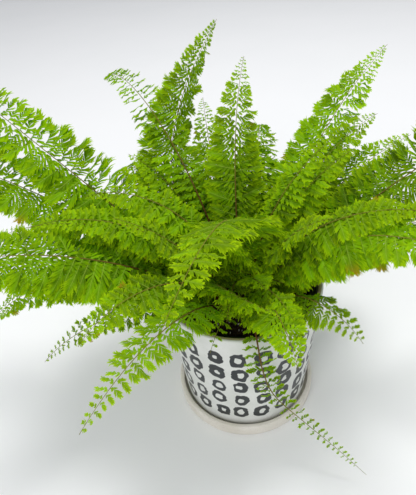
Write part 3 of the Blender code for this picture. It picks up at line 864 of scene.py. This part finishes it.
def leaflet_pattern(lobes, seed):
    """A leaflet one unit long and one unit wide at most: lobes on both sides of a raised pale rib."""
    luck = np.random.default_rng(seed)
    points, triangles, edge, rib = [], [], [], []
    pitch = 0.94 / (lobes + 0.5)
    for side in (1, -1):
        for number in range(lobes):
            share = 0.01 + pitch * (number + 0.5 + (0.25 if side < 0 else 0.0))
            width = 0.5 * (0.85 + 0.15 * min(1.0, share / 0.22)) * (1.0 - share ** 2.2) ** 0.9
            width *= luck.uniform(0.88, 1.08)
            lean = LOBE_SLANT[0] + (LOBE_SLANT[1] - LOBE_SLANT[0]) * min(1.0, share / 0.4)
            slant = math.radians(lean + luck.uniform(-5, 5) - 12 * share)
            reach = max(width / math.sin(slant), pitch * 0.9)
            spots, faces = lobe_pattern(share, pitch, reach, slant, luck.uniform(-0.7, 0.7),
                                        luck.uniform(-0.35, 0.25), side)
            triangles += [tuple(len(points) + i for i in face) for face in faces]
            points += spots
            # paleness: partly the lobe's own colour, partly painted light on its tip and painted shade at its
            # root
            edge += [paleness for _, _, paleness in LOBE_SPOTS]
            rib += [0.25] * ROOT_SPOTS + [0.0] * (len(spots) - ROOT_SPOTS)
    spots, faces = rib_pattern(len(points))
    points, triangles = points + spots, triangles + faces
    edge, rib = edge + [0.2] * len(spots), rib + [1.0] * len(spots)
    points = np.array(points)
    flat = np.stack([points[:, 0] * 0.86 + 0.05, (points[:, 1] + 0.6) * 0.75 + 0.05], -1)
    return dict(points=points, faces=triangles, map=flat[np.ravel(triangles)], edge=np.array(edge),
                rib=np.array(rib))


PATTERN_VARIANTS = 5
PATTERNS = {lobes: [leaflet_pattern(lobes, 100 * lobes + variant) for variant in range(PATTERN_VARIANTS)]
            for lobes in (4, 6, 8, 10, 12)}


# ---------------------------------------------------------------- a frond, dressed
# How each frond of its own kind differs: how slim its leaflets are, the gap between them, how many degrees
# the right-hand and left-hand ones turn on their own ribs like a blind's slats, how pale and how long.
OPEN_FRONDS = {
    "frond_01": dict(slim=0.75, pitch=1.1, turns=(10, 10), pale=0.15, reach=0.85),
    "frond_02": dict(slim=1.0, pitch=0.85, turns=(25, 25), pale=0.0, reach=1.35),
    "frond_03": dict(slim=0.62, pitch=1.0, turns=(35, 35), pale=0.30, reach=1.0),
    "frond_06": dict(slim=0.80, pitch=1.0, turns=(30, 20), pale=0.05, reach=1.0),
    "frond_08": dict(slim=0.90, pitch=1.05, turns=(20, 20), pale=-0.1, reach=1.0),
    "frond_09": dict(slim=0.85, pitch=1.15, turns=(0, 0), pale=0.20, reach=1.0),
    "frond_10": dict(slim=1.0, pitch=0.85, turns=(25, 25), pale=0.0, reach=1.3),
    "frond_11": dict(slim=1.0, pitch=0.85, turns=(25, 25), pale=0.0, reach=1.2),
    "frond_12": dict(slim=1.0, pitch=0.85, turns=(30, 20), pale=0.15, reach=1.2),
    "frond_13": dict(slim=1.0, pitch=0.9, turns=(30, 20), pale=0.15, reach=1.2),
    "frond_16": dict(slim=0.70, pitch=1.1, turns=(10, 10), pale=-0.4, reach=1.0),
    "frond_17": dict(slim=0.95, pitch=1.35, turns=(5, 5), pale=-0.25, reach=1.0),
    "frond_51": dict(slim=0.75, pitch=1.2, turns=(10, 10), pale=-0.2, reach=0.6),
}
ORDINARY = dict(slim=1.0, pitch=0.88, turns=None, pale=0.0, reach=1.1)   # it turns its leaflets as it climbs
FERN_SEED, YOUNG_SEED = 1013, 1014   # each frond adds its own number


def dress_leaflet(spots, root, arm, forward, up, turn, width, luck):
    """A leaflet's points in place: from its root along its arm, turned, drooping and waved."""
    length = np.linalg.norm(arm)
    out = arm / length
    across = forward - out * (forward @ out)
    across /= np.linalg.norm(across)
    normal = np.cross(out, across)
    if normal @ up < 0:
        normal = -normal
    facing = normal * math.cos(turn) + across * math.sin(turn)
    across = across * math.cos(turn) - normal * math.sin(turn)
    droop, bend = luck.uniform(0.02, 0.18), luck.uniform(-0.02, 0.12)
    wave_height, waves, wave_start = luck.uniform(0.12, 0.35), luck.uniform(6, 16), luck.uniform(0, 6)
    share, beside = spots[:, 0], 2 * spots[:, 1]
    wave = wave_height * np.sin(share * waves + wave_start) * np.abs(beside)
    x = share * length
    y = spots[:, 1] * width + bend * length * share ** 2
    z = (spots[:, 2] - LEAFLET_ARCH * beside ** 2 + wave) * width - droop * length * share ** 2
    return root + x[:, None] * out + y[:, None] * across + z[:, None] * facing


def rachis_tube(spine, spacing=4 * MM):
    """The midrib as a tapering tube: points, faces and each point's share of the frond."""
    count, sides = max(8, int(spine.length / spacing)), RACHIS_SIDES
    points, along = [], []
    for step in range(count + 1):
        place = spine.length * step / count
        centre, forward, up = spine.at(place)
        right = np.cross(forward, up)
        radius = RACHIS_ROOT + (RACHIS_TIP - RACHIS_ROOT) * min(1.0, place / (spine.length * 0.9))
        if step == 0:   # the foot swells and sinks a little into the crown
            centre = centre - forward * 1.2 * MM
            radius *= 1.25
        for side in range(sides):
            angle = math.tau * side / sides
            points.append(centre + radius * (right * math.cos(angle) + up * math.sin(angle)))
            along.append(step / count)
    faces = []
    for step in range(count):
        here, there = step * sides, (step + 1) * sides
        for side in range(sides):
            after = (side + 1) % sides
            faces.append((here + side, here + after, there + after, there + side))
    faces.append(tuple(reversed(range(sides))))
    faces.append(tuple(count * sides + side for side in range(sides)))
    return np.array(points), faces, np.array(along)


def leaflet_turn(kind, side, forward, arm):
    """Degrees a leaflet is turned on its own rib: more where the frond climbs and on its far side."""
    if kind["turns"] is not None:
        return kind["turns"][0 if side > 0 else 1]
    climb = max(0.0, min(1.0, (forward[2] - 0.35) / 0.55))
    return 45.0 * climb + (25.0 if arm[1] > 0 else 0.0)


def grow_leaflet(spine, kind, place, side, frond_tone, luck):
    """One leaflet, as a part of a frond's mesh, or nothing where the frond is too narrow for one."""
    share = place / spine.length
    arm = spine.tooth(place, side) * kind["reach"] * (1.0 - 0.3 * share ** 3) * luck.uniform(0.9, 1.08)
    length = float(np.linalg.norm(arm))
    if length < PINNA_SHORTEST:
        return []
    stagger = 0.35 * PINNA_PITCH * kind["pitch"] if side < 0 else 0.0
    centre, forward, up = spine.at(min(place + stagger, spine.length))
    width = min(PINNA_WIDEST, max(PINNA_SHAPE * length, PINNA_NARROWEST)) * kind["slim"]
    width *= luck.uniform(0.9, 1.1)
    wanted = max(4, int(round(length / LOBE_PITCH)))
    pattern = PATTERNS[min(PATTERNS, key=lambda lobes: abs(lobes - wanted))][luck.integers(PATTERN_VARIANTS)]
    turn = math.radians(leaflet_turn(kind, side, forward, arm) + luck.normal(0, 13))
    lift = BACK_RANK_LIFT * max(0.0, arm[1] / length) * (np.array([0.0, 0.0, 1.0]) - forward * forward[2])
    arm = arm + length * (lift + forward * luck.normal(0, 0.06) + up * luck.normal(0, 0.12))
    arm *= length / np.linalg.norm(arm)
    root = centre + arm / length * 0.3 * MM
    points = dress_leaflet(pattern["points"], root, arm, forward, up, turn, width, luck)
    tone = float(np.clip(frond_tone + luck.normal(0, 0.18), -0.3, 1))
    tipward, count = pattern["points"][:, 0], len(points)
    withered = np.clip((tipward - 0.7) * 3, 0, 0.8) if luck.uniform() < 0.02 else np.zeros(count)
    # edge grows paler towards the leaflet's tip: partly its own colour, partly painted light
    values = dict(along=np.full(count, share), edge=pattern["edge"] * (0.6 + 0.4 * tipward),
                  tone=np.full(count, tone), rib=pattern["rib"], dry=withered)
    return [dict(points=points, faces=pattern["faces"], map=pattern["map"], values=values)]


def grow_rachis(spine):
    """The rachis, as a part of a frond's mesh."""
    points, faces, along = rachis_tube(spine)
    none = np.zeros(len(points))
    flat = [(along[i] * 0.9 + 0.05, i % RACHIS_SIDES / RACHIS_SIDES * 0.9 + 0.05)
            for face in faces for i in face]
    return dict(points=points, faces=faces, map=np.array(flat),
                values=dict(along=along, edge=none, tone=none, rib=none, dry=none))


def make_frond(name, seed, spine, kind, nodes, finishes):
    """A frond: its rachis and two ranks of toothed leaflets, each with its own turn, droop and tone."""
    luck = np.random.default_rng(seed)
    age = min(1.0, max(0.0, (OLD_FROND_HEIGHT - spine.centres[-1][2]) / (60 * MM)))
    frond_tone = luck.uniform(0.2, 0.75) + kind["pale"] - 0.4 * age
    parts = [grow_rachis(spine)]
    pitch = PINNA_PITCH * kind["pitch"]
    place = spine.tooth_places[0] - 1.2 * pitch
    while place < spine.length - 1.5 * MM:
        for side in (1, -1):
            parts += grow_leaflet(spine, kind, place, side, frond_tone, luck)
        crowding = 1.0 - 0.45 * max(0.0, (place / spine.length - 0.6) / 0.4)
        place += pitch * crowding * luck.uniform(0.92, 1.08)
    join_frond(name, parts, nodes, finishes)


def join_frond(name, parts, nodes, finishes):
    """Joins a frond's parts into one mesh: each has its own square of the bake map, the rachis the first."""
    columns = math.ceil(math.sqrt(len(parts)))
    faces, uvs, material_of, start = [], [], [], 0
    blade, bark = 0, 1
    for cell, part in enumerate(parts):
        corner = np.array([cell % columns, cell // columns])
        uvs.append((corner + part["map"]) / columns)
        faces += [tuple(start + i for i in face) for face in part["faces"]]
        material_of += [bark if cell == 0 else blade] * len(part["faces"])
        start += len(part["points"])
    points = np.concatenate([part["points"] for part in parts])
    values = {key: np.concatenate([part["values"][key] for part in parts]) for key in parts[0]["values"]}
    new_piece(name, points, faces, finishes, "leaf", nodes, np.concatenate(uvs), material_of, values)


def make_fronds():
    """Every packed frond, dressed, then the short young ones that fill the heart of the clump."""
    finishes = [leaf_blade(), leaf_stalk()]
    for node in sorted(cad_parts):
        if node.startswith("frond_"):
            number = node.removeprefix("frond_")
            make_frond("fern_frond_" + number, FERN_SEED + int(number), Spine(node),
                       OPEN_FRONDS.get(node, ORDINARY), [node], finishes)
    luck = np.random.default_rng(77)
    crown_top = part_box("rhizome_crown")[1]
    for number in range(YOUNG_FRONDS):
        heading = math.tau * (number + luck.uniform(-0.3, 0.3)) / YOUNG_FRONDS
        out = np.array([math.cos(heading), math.sin(heading), 0.0])
        foot = out * crown_top.x * luck.uniform(0.15, 0.6) + [0.0, 0.0, crown_top.z - 2.5 * MM]
        length, fall = luck.uniform(60, 95) * MM, luck.uniform(40, 95)
        shoot = Shoot(foot, out, length, rise=72, fall=fall, reach=luck.uniform(13, 18) * MM)
        make_frond(f"young_frond_{number:02d}", YOUNG_SEED + number, shoot, ORDINARY, [], finishes)


# ---------------------------------------------------------------- studio
def make_floor():
    """A wide sheet of pale paper under the pot."""
    reach, pieces = 6.0, 24
    marks = [-reach + 2 * reach * i / pieces for i in range(pieces + 1)]
    vertices = [(x, y, -0.2 * MM) for y in marks for x in marks]
    faces = []
    for row in range(pieces):
        here, there = row * (pieces + 1), (row + 1) * (pieces + 1)
        faces += [(here + i, here + i + 1, there + i + 1, there + i) for i in range(pieces)]
    mesh = bpy.data.meshes.new("studio_floor")
    mesh.from_pydata(vertices, [], faces)
    mesh.materials.append(studio_paper())
    floor = bpy.data.objects.new("studio_floor", mesh)
    bpy.context.scene.collection.objects.link(floor)


def make_light(name, place, target, size, power):
    """A round softbox that faces its target."""
    light = bpy.data.lights.new(name, "AREA")
    light.shape = "DISK"
    light.size = size
    light.energy = power
    lamp = bpy.data.objects.new(name, light)
    lamp.location = place
    lamp.rotation_euler = (Vector(target) - Vector(place)).to_track_quat("-Z", "Y").to_euler()
    bpy.context.scene.collection.objects.link(lamp)


def make_studio():
    """Even light from a pale room, with one broad softbox overhead and a weaker one in front."""
    world = bpy.data.worlds.new("pale_room")
    world.use_nodes = True
    room = world.node_tree.nodes["Background"]
    room.inputs["Color"].default_value = linear("#e4e6ea")
    room.inputs["Strength"].default_value = 0.66
    bpy.context.scene.world = world
    make_light("overhead_softbox", (0.4, 0.5, 2.7), (0, 0, 0.1), size=1.0, power=36)
    make_light("front_softbox", (-0.8, -1.9, 1.6), (0, -0.3, 0.0), size=1.5, power=19)
    bpy.context.scene.view_settings.view_transform = "Standard"


def make_camera():
    """A hand-held camera in front of the plant and above it, looking down."""
    tip, yaw, roll = (math.radians(angle) for angle in CAMERA_TURN)
    forward = Vector((math.sin(yaw) * math.cos(tip), math.cos(yaw) * math.cos(tip), -math.sin(tip)))
    right = Vector((math.cos(yaw), -math.sin(yaw), 0.0))
    up = right.cross(forward)
    right, up = right * math.cos(roll) + up * math.sin(roll), up * math.cos(roll) - right * math.sin(roll)
    lens = bpy.data.cameras.new("camera")
    lens.sensor_fit = "HORIZONTAL"
    lens.angle = math.radians(LENS_ANGLE)
    lens.clip_start = 0.01
    camera = bpy.data.objects.new("camera", lens)
    turned = Matrix((right, up, -forward)).transposed()
    camera.matrix_world = Matrix.Translation(CAMERA_PLACE) @ turned.to_4x4()
    bpy.context.scene.collection.objects.link(camera)
    bpy.context.scene.camera = camera


def main():
    make_camera()
    make_studio()
    make_floor()
    make_pot()
    make_saucer()
    make_nursery_pot()
    make_compost()
    make_crown()
    make_fronds()


main()
